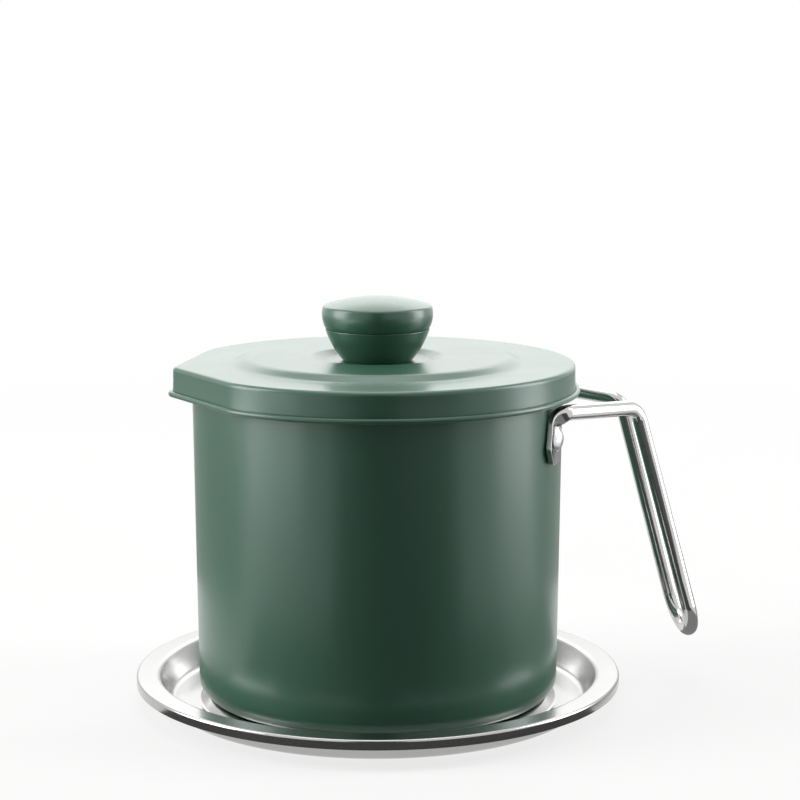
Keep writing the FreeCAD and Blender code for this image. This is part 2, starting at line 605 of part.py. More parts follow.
# Knob: a lower cup and a domed cap, both hollow stampings that meet at the seam.
KNOB_SEAT = LID_SEAT + " + " + RECESS_HEIGHT + " + lid_sheet"
cup = new_body("knob_cup", KNOB_SEAT)
revolve(cup, "cup_pressing", profile(cup, "cup_profile", [
    (SCREW_HOLE, "0"), ("knob_base_radius", "0"), ("knob_seam_radius", "knob_seam_height", "knob_wall_bow"),
    ("knob_seam_radius - 1.1 * knob_sheet", "knob_seam_height"),
    ("knob_base_radius - 1.1 * knob_sheet", "knob_sheet", "-knob_wall_bow"), (SCREW_HOLE, "knob_sheet")]))
fillet(cup, "cup_base_rounding", "knob_base_rounding", ring_edge("knob_base_radius", "0"))
CAP_FOOT = "knob_seam_radius + knob_cap_step"
CAP_DOME = "(knob_edge_radius ^ 2 + knob_dome_rise ^ 2) / (2 * knob_dome_rise)"
CAP_HOLLOW = "((knob_edge_radius - knob_sheet) ^ 2 + knob_dome_rise ^ 2) / (2 * knob_dome_rise)"
cap = new_body("knob_cap", KNOB_SEAT)
revolve(cap, "cap_pressing", profile(cap, "cap_profile", [
    (CAP_FOOT + " - knob_sheet", "knob_seam_height", "-knob_cap_bow"), (CAP_FOOT, "knob_seam_height"),
    ("knob_edge_radius", "knob_edge_height", "knob_cap_bow"),
    ("0", "knob_edge_height + knob_dome_rise", CAP_DOME),
    ("0", "knob_edge_height + knob_dome_rise - knob_sheet"),
    ("knob_edge_radius - knob_sheet", "knob_edge_height - knob_sheet", "-" + CAP_HOLLOW)]))
fillet(cap, "cap_edge_rounding", "knob_edge_rounding", ring_edge("knob_edge_radius", "knob_edge_height"))

# Nut inside the cup, washer and slotted screw under the lid.
nut = new_body("knob_nut", KNOB_SEAT)
corner = "nut_flats / 2 / cos(30) * "
pad(nut, "nut_hexagon", profile(nut, "nut_outline", [
    (corner + "cos(%d)" % angle, corner + "sin(%d)" % angle) for angle in range(0, 360, 60)],
    "XY_Plane", "knob_sheet"), "nut_height")
pocket(nut, "nut_bore", circle_sketch(nut, "nut_bore_edge", ["(screw_diameter + nut_bore_clearance) / 2"],
                                      height="knob_sheet + nut_height"), "nut_height")
washer = new_body("knob_washer", KNOB_SEAT)
pad(washer, "washer_ring", circle_sketch(washer, "washer_edges", ["washer_diameter / 2", SCREW_HOLE],
                                         height="0 - lid_sheet - washer_sheet"), "washer_sheet")
HEAD_TOP = "0 - lid_sheet - washer_sheet"
screw = new_body("knob_screw", KNOB_SEAT)
revolve(screw, "screw_turning", profile(screw, "screw_profile", [
    ("0", HEAD_TOP + " - screw_head_height"), ("screw_head / 2", HEAD_TOP + " - screw_head_height"),
    ("screw_head / 2", HEAD_TOP), ("screw_diameter / 2", HEAD_TOP),
    ("screw_diameter / 2", "knob_sheet + nut_height + screw_tip"),
    ("0", "knob_sheet + nut_height + screw_tip")]))
fillet(screw, "screw_head_rounding", "screw_head_height / 3",
       ring_edge("screw_head / 2", HEAD_TOP + " - screw_head_height"))
pocket(screw, "screw_slot", profile(screw, "slot_outline", [
    ("0 - screw_head", "0 - screw_slot_width / 2"), ("screw_head", "0 - screw_slot_width / 2"),
    ("screw_head", "screw_slot_width / 2"), ("0 - screw_head", "screw_slot_width / 2")],
    "XY_Plane", HEAD_TOP + " - screw_head_height"), "screw_slot_depth", True)

doc.recompute()
nodes = ["drip_tray", "pot_body", "handle", "rivet_front", "rivet_rear", "strainer_pan",
         "strainer_screen", "lid_shell", "knob_cup", "knob_cap", "knob_nut", "knob_washer", "knob_screw"]
for thing in doc.Objects:
    if "Invalid" in thing.State or "Error" in thing.State:
        raise RuntimeError(thing.Name + " failed to build")
for name in nodes:
    shape = doc.getObject(name).Shape
    if shape.isNull() or not shape.isValid() or len(shape.Solids) != 1:
        raise RuntimeError(name + " is not one sound solid")
os.makedirs("parts", exist_ok=True)
for name in nodes:
    doc.getObject(name).Shape.exportStep("parts/" + name + ".step")
    box = doc.getObject(name).Shape.optimalBoundingBox(False)
    print("%-16s volume %9.1f  X %.2f %.2f  Y %.2f %.2f  Z %.2f %.2f" % (
        name, doc.getObject(name).Shape.Volume, box.XMin, box.XMax, box.YMin, box.YMax,
        box.ZMin, box.ZMax))
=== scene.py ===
import math

import bpy
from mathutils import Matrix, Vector


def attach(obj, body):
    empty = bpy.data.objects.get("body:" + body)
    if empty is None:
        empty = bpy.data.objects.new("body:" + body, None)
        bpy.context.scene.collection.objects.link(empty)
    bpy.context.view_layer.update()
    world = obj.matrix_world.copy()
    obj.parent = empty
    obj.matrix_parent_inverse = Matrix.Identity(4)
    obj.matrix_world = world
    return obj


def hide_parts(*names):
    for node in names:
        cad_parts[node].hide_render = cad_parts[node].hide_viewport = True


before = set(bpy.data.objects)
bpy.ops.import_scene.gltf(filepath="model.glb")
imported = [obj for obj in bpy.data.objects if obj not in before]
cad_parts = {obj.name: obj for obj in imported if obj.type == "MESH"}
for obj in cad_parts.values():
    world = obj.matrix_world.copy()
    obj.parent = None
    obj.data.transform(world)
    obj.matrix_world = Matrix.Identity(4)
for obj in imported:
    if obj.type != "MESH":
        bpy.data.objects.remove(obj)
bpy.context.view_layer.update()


# Drip tray: a dish pressed from one disc of polished stainless sheet. Its gutter stands on the
# table, a raised ring and a raised disc carry the pot, and its edge is turned down.
MM = 0.001
ROUND_STEPS = 256


def rounded_line(corners):
    """The points of a bent line, in mm. A corner is (across, height) or (across, height, rounding)."""
    line = [Vector(corners[0][:2])]
    for before, corner, after in zip(corners, corners[1:], corners[2:]):
        spot = Vector(corner[:2])
        if len(corner) == 2:
            line.append(spot)
            continue
        back = (Vector(before[:2]) - spot).normalized()
        ahead = (Vector(after[:2]) - spot).normalized()
        half = back.angle(ahead) / 2
        centre = spot + (back + ahead).normalized() * (corner[2] / math.sin(half))
        first = spot + back * (corner[2] / math.tan(half)) - centre
        last = spot + ahead * (corner[2] / math.tan(half)) - centre
        start = math.atan2(first.y, first.x)
        turn = (math.atan2(last.y, last.x) - start + math.pi) % (2 * math.pi) - math.pi
        steps = max(4, math.ceil(abs(turn) / math.radians(9)))
        for step in range(steps + 1):
            angle = start + turn * step / steps
            line.append(centre + Vector((math.cos(angle), math.sin(angle))) * corner[2])
    line.append(Vector(corners[-1][:2]))
    return line


def bow(start, end, radius, steps=14):
    """The points of an arc after its start. It turns left, or right where the radius is negative."""
    start, end = Vector(start[:2]), Vector(end[:2])
    chord = end - start
    across = Vector((-chord.y, chord.x)).normalized()
    reach = math.sqrt(radius ** 2 - (chord.length / 2) ** 2)
    centre = (start + end) / 2 + across * math.copysign(reach, radius)
    first = math.atan2(start.y - centre.y, start.x - centre.x)
    turn = (math.atan2(end.y - centre.y, end.x - centre.x) - first + math.pi) % (2 * math.pi) - math.pi
    return [centre + Vector((math.cos(first + turn * i / steps), math.sin(first + turn * i / steps)))
            * abs(radius) for i in range(1, steps + 1)]


def beside(line, distance):
    """The same line moved sideways: to its left, or to its right where the distance is negative."""
    moved = []
    for i, spot in enumerate(line):
        before = (spot - line[i - 1]).normalized() if i else None
        after = (line[i + 1] - spot).normalized() if i + 1 < len(line) else None
        along = (before or after) + (after or before)
        left = Vector((-along.y, along.x)).normalized()
        lean = Vector((-(after or before).y, (after or before).x)).dot(left)
        moved.append(spot + left * (distance / lean))
    return moved


def sheet_of(line, thickness):
    """The outline of a sheet with the line as one side, and the other side a thickness beside it."""
    return line + beside(line, thickness)[::-1]


def spun(name, outline, steps=ROUND_STEPS):
    """Extrude a vertex along an outline in mm and spin it round Z into a closed wall."""
    if outline[0].x > 0:
        outline = outline + outline[:1]
    bpy.ops.object.select_all(action="DESELECT")
    bpy.ops.mesh.primitive_plane_add(size=MM)
    piece = bpy.context.object
    piece.name = piece.data.name = name
    bpy.ops.object.mode_set(mode="EDIT")
    bpy.ops.mesh.merge(type="CENTER")
    bpy.ops.transform.translate(value=(outline[0].x * MM, 0, outline[0].y * MM))
    for here, there in zip(outline, outline[1:]):
        move = ((there.x - here.x) * MM, 0, (there.y - here.y) * MM)
        bpy.ops.mesh.extrude_region_move(TRANSFORM_OT_translate={"value": move})
    bpy.ops.mesh.select_all(action="SELECT")
    bpy.ops.mesh.spin(steps=steps, angle=2 * math.pi, center=(0, 0, 0), axis=(0, 0, 1))
    bpy.ops.mesh.select_all(action="SELECT")
    bpy.ops.mesh.remove_doubles(threshold=0.002 * MM)
    bpy.ops.mesh.normals_make_consistent(inside=False)
    bpy.ops.object.mode_set(mode="OBJECT")
    return piece


def finished(piece, material, body, slot, *nodes, edge=0.1):
    """Soften a piece's sharp edges, shade it, give it its material and tie it to the frame."""
    bpy.ops.object.select_all(action="DESELECT")
    bpy.context.view_layer.objects.active = piece
    piece.select_set(True)
    if edge:
        soften = piece.modifiers.new("edges", "BEVEL")
        soften.width = edge * MM
        soften.segments = 2
        soften.limit_method = "ANGLE"
        soften.angle_limit = math.radians(50)
        bpy.ops.object.modifier_apply(modifier=soften.name)
    bpy.ops.object.shade_smooth_by_angle(angle=math.radians(32))
    weigh = piece.modifiers.new("normals", "WEIGHTED_NORMAL")
    weigh.keep_sharp = True
    bpy.ops.object.modifier_apply(modifier=weigh.name)
    piece.data.materials.append(material)
    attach(piece, body)
    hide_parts(*nodes)
    return piece


def colour(hex_code):
    """An sRGB hex colour as linear red, green, blue and alpha."""
    parts = [int(hex_code[i:i + 2], 16) / 255 for i in (1, 3, 5)]
    return [p / 12.92 if p <= 0.04045 else ((p + 0.055) / 1.055) ** 2.4 for p in parts] + [1]


def add_node(tree, kind, inputs=None, **settings):
    """Add a node with its settings. An input takes a number, a colour or another node's socket."""
    node = tree.nodes.new(kind)
    for name, setting in settings.items():
        setattr(node, name, setting)
    for key, given in (inputs or {}).items():
        if isinstance(given, bpy.types.NodeSocket):
            tree.links.new(given, node.inputs[key])
        else:
            node.inputs[key].default_value = given
    return node


def new_material(name, **constants):
    """A material, its node tree and its shader, with constants set on the shader's own sockets."""
    material = bpy.data.materials.new(name)
    material.use_nodes = True
    shader = material.node_tree.nodes["Principled BSDF"]
    for key, given in constants.items():
        shader.inputs[key.replace("_", " ")].default_value = given
    return material, material.node_tree, shader


def steel(name, tint, low, high, spacing, lines_along_z=False, groove=0.004, anisotropy=0.0):
    """Stainless steel: grey metal with fine finishing lines, stains about 45 mm across and hairline
    scratches about 9 mm apart. Its lines run round Z: rings on a flat face, or hoops up a wall. Their
    spacing and the depth of their grooves are in mm."""
    material, tree, shader = new_material(name, Metallic=1.0, Anisotropic=anisotropy)
    place = add_node(tree, "ShaderNodeTexCoord").outputs["Object"]
    if lines_along_z:
        stretched = add_node(tree, "ShaderNodeMapping", {
            "Vector": place, "Scale": (12, 12, 1 / (spacing * MM))}).outputs[0]
    else:
        flat = add_node(tree, "ShaderNodeMapping", {"Vector": place, "Scale": (1, 1, 0)}).outputs[0]
        radius = add_node(tree, "ShaderNodeVectorMath", {0: flat}, operation="LENGTH").outputs["Value"]
        spread = add_node(tree, "ShaderNodeMath", {0: radius, 1: 1 / (spacing * MM)},
                          operation="MULTIPLY").outputs[0]
        slow = add_node(tree, "ShaderNodeMapping", {"Vector": place, "Scale": (12, 12, 12)}).outputs[0]
        parts = add_node(tree, "ShaderNodeSeparateXYZ", {0: slow})
        stretched = add_node(tree, "ShaderNodeCombineXYZ", {
            0: parts.outputs[0], 1: parts.outputs[1], 2: spread}).outputs[0]
    lines = add_node(tree, "ShaderNodeTexNoise", {
        "Vector": stretched, "Scale": 1.0, "Detail": 3.0, "Roughness": 0.6}).outputs["Fac"]
    stains = add_node(tree, "ShaderNodeTexNoise", {
        "Vector": place, "Scale": 1 / (45 * MM), "Detail": 4.0, "Roughness": 0.55}).outputs["Fac"]
    both = add_node(tree, "ShaderNodeMath", {0: lines, 1: stains}, operation="ADD").outputs[0]
    rough = add_node(tree, "ShaderNodeMapRange", {
        "Value": both, "From Min": 0.7, "From Max": 1.3, "To Min": low, "To Max": high}).outputs[0]
    tree.links.new(rough, shader.inputs["Roughness"])
    shade = add_node(tree, "ShaderNodeMix", {
        "Factor": stains, 6: colour(tint[0]), 7: colour(tint[1])}, data_type="RGBA").outputs[2]
    tree.links.new(shade, shader.inputs["Base Color"])
    scratches = add_node(tree, "ShaderNodeTexVoronoi", {
        "Vector": place, "Scale": 1 / (9 * MM), "Randomness": 1.0},
        feature="DISTANCE_TO_EDGE").outputs["Distance"]
    thin = add_node(tree, "ShaderNodeMapRange", {
        "Value": scratches, "From Min": 0.0, "From Max": 0.006, "To Min": 0.0, "To Max": 1.0}).outputs[0]
    height = add_node(tree, "ShaderNodeMath", {0: lines, 1: thin, 2: 0.0},
                      operation="MULTIPLY_ADD").outputs[0]
    relief = add_node(tree, "ShaderNodeBump", {
        "Height": height, "Strength": 0.25, "Distance": groove * MM}).outputs[0]
    tree.links.new(relief, shader.inputs["Normal"])
    if anisotropy:
        round_z = add_node(tree, "ShaderNodeTangent", direction_type="RADIAL", axis="Z").outputs[0]
        tree.links.new(round_z, shader.inputs["Tangent"])
    return material


TRAY_SHEET = 0.6
TRAY_EDGE = 86.17
FLANGE_TOP = 10.6
GUTTER_TOP = TRAY_SHEET
POT_SEAT = 2.8
tray_top = rounded_line([
    (0, POT_SEAT), (36.3, POT_SEAT, 2.0), (39.4, GUTTER_TOP, 1.6), (53.0, GUTTER_TOP, 1.8),
    (57.3, POT_SEAT, 1.7), (60.5, POT_SEAT, 1.7), (63.4, GUTTER_TOP, 1.6), (74.0, GUTTER_TOP, 2.4),
    (78.0, FLANGE_TOP, 1.8), (TRAY_EDGE, FLANGE_TOP, 0.9), (TRAY_EDGE, 7.1)])
# Bright pressed steel mirrors its surroundings softly, with faint rings from the polishing wheel.
tray_steel = steel("polished_tray_steel", ("#bdbdbc", "#b3b3b2"), 0.14, 0.24, 0.7)
finished(spun("tray_pressing", sheet_of(tray_top, -TRAY_SHEET)), tray_steel, "tray", "tray_steel",
         "drip_tray")


# Pot: a cup drawn from stainless sheet. Near the top its wall runs out into a beak for pouring,
# and ends in a rolled rim. The outside is powder coated in matte green up to the roll.
RIM_RADIUS = 68.1
FLANK_REACH = 65.8
BLEND_RADIUS = 30.0
TIP_RADIUS = 4.0
TIP_LEAST = 0.6
TIP_CENTRE = 66.5
FLANK_TURN = math.acos((FLANK_REACH - TIP_RADIUS) / TIP_CENTRE)
BLEND_TURN = FLANK_TURN + math.acos((FLANK_REACH - BLEND_RADIUS) / (RIM_RADIUS - BLEND_RADIUS))
ROUND_SHARE = 0.74
BLEND_SHARE = 0.84
FLANK_SHARE = 0.93


def rim_spot(turn, outwards):
    """A point on the rim's outline, which is a circle with a beak on the -X side, moved outwards by
    some mm. The turn runs from 0 to 1 round the outline. Each half of it is the circle up to the round
    share, then a blend, a straight flank and the beak's tip."""
    part = 2 * min(turn, 1 - turn)
    if part < ROUND_SHARE:
        centre, radius = Vector((0, 0)), RIM_RADIUS
        angle = (math.pi - BLEND_TURN) * part / ROUND_SHARE
    elif part < BLEND_SHARE:
        centre = Vector((-math.cos(BLEND_TURN), math.sin(BLEND_TURN))) * (RIM_RADIUS - BLEND_RADIUS)
        radius = BLEND_RADIUS
        share = (part - ROUND_SHARE) / (BLEND_SHARE - ROUND_SHARE)
        angle = math.pi - BLEND_TURN + (BLEND_TURN - FLANK_TURN) * share
    elif part < FLANK_SHARE:
        share = (part - BLEND_SHARE) / (FLANK_SHARE - BLEND_SHARE)
        blend = Vector((-math.cos(BLEND_TURN), math.sin(BLEND_TURN))) * (RIM_RADIUS - BLEND_RADIUS)
        centre = blend.lerp(Vector((-TIP_CENTRE, 0)), share)
        radius = BLEND_RADIUS + (TIP_RADIUS - BLEND_RADIUS) * share
        angle = math.pi - FLANK_TURN
    else:
        centre, radius = Vector((-TIP_CENTRE, 0)), TIP_RADIUS
        angle = math.pi - FLANK_TURN * (1 - part) / (1 - FLANK_SHARE)
    radius += max(outwards, TIP_LEAST - TIP_RADIUS)
    spot = centre + Vector((math.cos(angle), math.sin(angle))) * radius
    spot += spot.normalized() * min(0, outwards - TIP_LEAST + TIP_RADIUS)
    return Vector((spot.x, spot.y if turn <= 0.5 else -spot.y))


def beaked(piece, share_at):
    """Draw a round piece out to the rim's outline, by a share that depends on radius and height."""
    for vertex in piece.data.vertices:
        radius = math.hypot(vertex.co.x, vertex.co.y) / MM
        if radius < 1:
            continue
        turn = math.atan2(vertex.co.y, vertex.co.x) / (2 * math.pi) % 1
        drawn = rim_spot(turn, radius - RIM_RADIUS)
        plain = rim_spot(turn, 0).normalized() * radius
        share = min(1, max(0, share_at(radius, vertex.co.z / MM)))
        spot = plain.lerp(drawn, share) * MM
        vertex.co.x, vertex.co.y = spot
    piece.data.update()
    return piece


def powder_coat(name, tint, deep):
    """Powder coat baked on steel: orange peel about 1 mm across, a finer grain in its gloss, slightly
    uneven colour, and edges rubbed paler."""
    material, tree, shader = new_material(name, IOR=1.45, Specular_Tint=(0.85, 0.96, 1.0, 1),
                                          Coat_Weight=0.6, Coat_Roughness=0.24, Coat_IOR=1.5)
    place = add_node(tree, "ShaderNodeTexCoord").outputs["Object"]
    cloud = add_node(tree, "ShaderNodeTexNoise", {
        "Vector": place, "Scale": 1 / (30 * MM), "Detail": 5.0, "Roughness": 0.6}).outputs["Fac"]
    grain = add_node(tree, "ShaderNodeTexNoise", {
        "Vector": place, "Scale": 1 / (0.45 * MM), "Detail": 2.0}).outputs["Fac"]
    body = add_node(tree, "ShaderNodeMix", {
        "Factor": cloud, 6: colour(tint), 7: colour(deep)}, data_type="RGBA").outputs[2]
    rubbed = add_node(tree, "ShaderNodeMapRange", {
        "Value": add_node(tree, "ShaderNodeNewGeometry").outputs["Pointiness"],
        "From Min": 0.52, "From Max": 0.62, "To Min": 0.0, "To Max": 0.16}).outputs[0]
    worn = add_node(tree, "ShaderNodeMix", {
        "Factor": rubbed, 6: body, 7: colour("#6f8f80")}, data_type="RGBA").outputs[2]
    tree.links.new(worn, shader.inputs["Base Color"])
    mixed = add_node(tree, "ShaderNodeMath", {0: cloud, 1: grain}, operation="ADD").outputs[0]
    rough = add_node(tree, "ShaderNodeMapRange", {
        "Value": mixed, "From Min": 0.6, "From Max": 1.4, "To Min": 0.32, "To Max": 0.4}).outputs[0]
    tree.links.new(rough, shader.inputs["Roughness"])
    peel = add_node(tree, "ShaderNodeTexNoise", {
        "Vector": place, "Scale": 1 / (1.1 * MM), "Detail": 3.0, "Roughness": 0.5}).outputs["Fac"]
    relief = add_node(tree, "ShaderNodeBump", {
        "Height": peel, "Strength": 0.3, "Distance": 0.02 * MM}).outputs[0]
    tree.links.new(relief, shader.inputs["Normal"])
    tree.links.new(relief, shader.inputs["Coat Normal"])
    return material


POT_RADIUS = 65
POT_SHEET = 0.6
BASE_RADIUS = 63.8
BASE_BEND = 6.5
FLARE_FOOT = 107.8
FLARE_RISE = 9.45
FLARE_REACH = 0.96
FLARE_STEPS = 8
ROLL_HEIGHT = 118.65
ROLL_CENTRE = Vector((66.65, ROLL_HEIGHT))
ROLL_RADIUS = 1.45
COAT = 0.12
UNDER_COAT = 0.14


def eased(share):
    """A share from 0 to 1 that leaves 0 gently."""
    return share * share * (2 - share)


def flare_share(radius, height):
    """How far the wall is drawn out to the beak: not at all at the flare's foot, fully at the roll."""
    share = min(1, max(0, (height - FLARE_FOOT) / (ROLL_HEIGHT - FLARE_FOOT)))
    return eased(share)


def arc_round(centre, radius, first, last, steps):
    """Points on a circle from one angle to another, in degrees."""
    angles = [math.radians(first + (last - first) * i / steps) for i in range(steps + 1)]
    return [centre + Vector((math.cos(a), math.sin(a))) * radius for a in angles]


wall_up = [(POT_RADIUS + FLARE_REACH * eased(i / FLARE_STEPS), FLARE_FOOT + FLARE_RISE * i / FLARE_STEPS)
           for i in range(FLARE_STEPS + 1)]
pot_outside = rounded_line([(0, POT_SEAT), (BASE_RADIUS, POT_SEAT, BASE_BEND), *wall_up])
# Satin steel draws a light out into a soft band, and shows the hoops that the forming left.
pot_steel = steel("satin_pot_steel", ("#c6c6c5", "#b9b9b8"), 0.22, 0.32, 0.5, True, 0.006, 0.55)
roll = arc_round(ROLL_CENTRE, ROLL_RADIUS, -116, 210, 34)
cup_outline = beside(pot_outside, UNDER_COAT) + roll + beside(pot_outside, POT_SHEET)[::-1]
finished(beaked(spun("pot_cup", cup_outline), flare_share), pot_steel, "pot", "pot_coat", "pot_body",
         edge=0)
# The matte coat has broad soft highlights with a blurred edge, and no sharp reflection.
green_coat = powder_coat("matte_green_powder_coat", "#3a6450", "#345c49")
finished(beaked(spun("pot_green_coat", sheet_of(pot_outside, COAT)), flare_share), green_coat, "pot",
         "pot_coat", "pot_body", edge=0.05)


# Handle: one round stainless rod, polished, bent into a long loop. Both ends are turned down and
# pressed flat into ears, which lie on the wall.
RING_POINTS = 40
ROD_RADIUS = 2.75
ROD_HEIGHT = 107.15
ELBOW_RADIUS = 4.6
BEND_RADIUS = 7.0
EAR_TURN = math.radians(34)
EAR_REACH = 68.0
EAR_SHIFT = 1.95
EAR_END = 89.75
EAR_HALF_THICKNESS = 1.0
EAR_CORNER = 0.35
EAR_SPREAD = 1.3
ear_outwards = Vector((math.cos(EAR_TURN), -math.sin(EAR_TURN), 0))
ear_along = Vector((-math.sin(EAR_TURN), -math.cos(EAR_TURN), 0))
ear_spot = ear_outwards * EAR_REACH + Vector((0, 0, ROD_HEIGHT))
bend_spot = Vector((91.6, -10.2, 103.95))
foot_spot = Vector((114.78, -11.4, 20.0))


def ring(centre, wide, thick, half_width, half_thickness, corner):
    """The corners of a section: a rectangle with rounded corners, or a circle where all are equal."""
    spots = []
    for i in range(RING_POINTS):
        angle = 2 * math.pi * (i + 0.5) / RING_POINTS
        across = math.copysign(half_width - corner, math.cos(angle)) + corner * math.cos(angle)
        out = math.copysign(half_thickness - corner, math.sin(angle)) + corner * math.sin(angle)
        spots.append((centre + wide * across + thick * out) * MM)
    return spots


def smooth_step(share):
    """A share held between 0 and 1 that leaves both ends gently."""
    share = min(1, max(0, share))
    return share * share * (3 - 2 * share)


level_along = Vector((bend_spot.x - ear_spot.x, bend_spot.y - ear_spot.y, 0)).normalized()
level_across = Vector((level_along.y, -level_along.x, 0))
rings = []

# The ear, from its lower end upwards: half its width at each height, and a rounded lower edge.
ear_edge = rounded_line([(4.0, 102.55), (5.5, 95.15, 3.0), (2.5, EAR_END, 1.5), (1.0, EAR_END)])
for spot in reversed(ear_edge):
    full = 0.75 + 0.25 * smooth_step((spot.y - EAR_END + 0.05) / 0.5)
    middle = ear_outwards * (EAR_REACH - EAR_SHIFT) + Vector((0, 0, spot.y))
    rings.append(ring(middle, ear_along, ear_outwards, spot.x, EAR_HALF_THICKNESS * full, EAR_CORNER))

# The elbow, where the pressed ear turns into the round rod.
elbow_centre = ear_spot + level_along * ELBOW_RADIUS - Vector((0, 0, ELBOW_RADIUS))
for degrees in range(84, 0, -6):
    angle = math.radians(degrees)
    travel = -level_along * math.cos(angle) - Vector((0, 0, math.sin(angle)))
    flat = smooth_step(degrees / 80)
    thick = level_across.lerp(ear_outwards, smooth_step(degrees / 90))
    thick = (thick - travel * thick.dot(travel)).normalized()
    middle = elbow_centre - level_along * (ELBOW_RADIUS * math.sin(angle))
    middle += Vector((0, 0, ELBOW_RADIUS * math.cos(angle))) - ear_outwards * (EAR_SHIFT * flat)
    rings.append(ring(middle, travel.cross(thick), thick, ROD_RADIUS + EAR_SPREAD * flat,
                      ROD_RADIUS - (ROD_RADIUS - EAR_HALF_THICKNESS) * flat,
                      ROD_RADIUS - (ROD_RADIUS - EAR_CORNER) * flat))


def rounded_corner(before, corner, after, radius, steps):
    """Points round a corner of a path in space, with the way that the path goes at each."""
    back = (before - corner).normalized()
    ahead = (after - corner).normalized()
    half = back.angle(ahead) / 2
    centre = corner + (back + ahead).normalized() * (radius / math.sin(half))
    first = corner + back * (radius / math.tan(half)) - centre
    turn = math.pi - 2 * half
    found = []
    for i in range(steps + 1):
        angle = turn * i / steps
        way = -back * math.cos(angle) - first.normalized() * math.sin(angle)
        found.append((centre + first * math.cos(angle) - back * radius * math.sin(angle), way))
    return found


# The round rod, along the arm, down the leg and half-way through the turn at its foot.
half_turn = (bend_spot - foot_spot).angle(Vector((0, 1, 0))) / 2
foot_radius = -foot_spot.y * math.tan(half_turn)
leg_start = ear_spot + level_along * ELBOW_RADIUS
stations = [(leg_start, (bend_spot - leg_start).normalized())]
stations += rounded_corner(leg_start, bend_spot, foot_spot, BEND_RADIUS, 16)
stations += rounded_corner(bend_spot, foot_spot, Vector((foot_spot.x, 0, foot_spot.z)), foot_radius, 18)
thick = level_across
for middle, way in stations:
    thick = (thick - way * thick.dot(way)).normalized()
    rings.append(ring(middle, thick.cross(way), thick, ROD_RADIUS, ROD_RADIUS, ROD_RADIUS))

# Each extrude adds one ring of points, which then takes its own place and shape.
bpy.ops.object.select_all(action="DESELECT")
bpy.ops.mesh.primitive_circle_add(vertices=RING_POINTS, radius=MM, fill_type="NGON")
handle = bpy.context.object
handle.name = handle.data.name = "handle_loop"
bpy.ops.object.mode_set(mode="EDIT")
for section in rings[1:]:
    bpy.ops.mesh.extrude_region_move()
bpy.ops.mesh.delete(type="ONLY_FACE")
bpy.ops.object.mode_set(mode="OBJECT")
for i, spot in enumerate(spot for section in rings for spot in section):
    handle.data.vertices[i].co = spot
for vertex in handle.data.vertices:
    if abs(vertex.co.y) < 0.01 * MM:
        vertex.co.y = 0
half_loop = handle.modifiers.new("other_half", "MIRROR")
half_loop.use_axis = (False, True, False)
half_loop.merge_threshold = 0.005 * MM
bpy.ops.object.modifier_apply(modifier=half_loop.name)
bpy.ops.object.mode_set(mode="EDIT")
bpy.ops.mesh.select_all(action="SELECT")
bpy.ops.mesh.normals_make_consistent(inside=False)
bpy.ops.object.mode_set(mode="OBJECT")
# The polished rod mirrors light and dark as sharp stripes along its length.
handle_steel = steel("mirror_polished_rod", ("#cbcbca", "#c2c2c1"), 0.08, 0.16, 1.2)
finished(handle, handle_steel, "pot", "handle_steel", "handle", edge=0)


# Rivets: two solid aluminium rivets with low domed heads, driven from outside and clinched flat
# inside the pot, one through each ear.
# Aluminium looks whiter than the steel round it, and its tumbled surface blurs what it mirrors.
rivet_metal = steel("bright_rivet_aluminium", ("#dcdddf", "#cfd0d3"), 0.2, 0.32, 0.4)
RIVET_HEIGHT = 98.55
SHANK = 2.25
TAIL = 3.8
HEAD = 4.3
DOME_RADIUS = 6.29
rivet_outline = rounded_line([(0, 63.27), (TAIL, 63.27, 0.3), (TAIL, 64.16), (SHANK, 64.16),
                              (SHANK, 67.05), (HEAD, 67.05), (HEAD, 67.55)])
rivet_outline += bow((HEAD, 67.55), (0.0, 69.25), DOME_RADIUS)
for side, sign in (("front", -1), ("rear", 1)):
    rivet = spun("rivet_%s_domed" % side, rivet_outline, 64)
    rivet.rotation_euler = (0, math.pi / 2, sign * EAR_TURN)
    rivet.location.z = RIVET_HEIGHT * MM
    bpy.ops.object.transform_apply(location=True, rotation=True, scale=True)
    finished(rivet, rivet_metal, "pot", "rivet_metal", "rivet_" + side)


# Strainer pan: pressed from thin stainless sheet and polished to a mirror. Its flange hangs on the
# rim of the pot, and a bead round the hole in its floor holds the screen.
PAN_SHEET = 0.48
pan_floor = [Vector((40.0, 104.3)), Vector((40.9, 104.3))]
pan_floor += bow((40.9, 104.3), (42.5, 104.3), -0.82, 8)
pan_wall = [Vector((48.45, 105.8))] + bow((48.45, 105.8), (57.95, 120.8), 24.0, 18)
pan_rim = rounded_line([pan_wall[-2], (57.95, 120.8, 0.8), (66.0, 120.8, 0.22), (66.0, 120.35)])[1:]
pan_top = pan_floor + pan_wall[:-1] + pan_rim
# Mirror-polished steel shows its surroundings almost sharp, so it is bright and black by turns.
pan_steel = steel("mirror_pan_steel", ("#dcdcdb", "#d3d3d2"), 0.04, 0.1, 0.9)
finished(spun("strainer_pressing", sheet_of(pan_top, -PAN_SHEET)), pan_steel, "strainer",
         "strainer_steel", "strainer_pan", edge=0.08)


# Screen: a thin stainless disc with rings of tiny punched holes, laid into the strainer's floor.
# The real holes are finer still, so they are drawn as coarse as the picture can show.
SCREEN_RINGS = 36
RING_PITCH = 0.98
HOLE_RADIUS = 0.3
SCREEN_EDGE = 40.75
SCREEN_TOP = 104.58
SCREEN_SHEET = 0.26
screen_spots = []
screen_faces = []


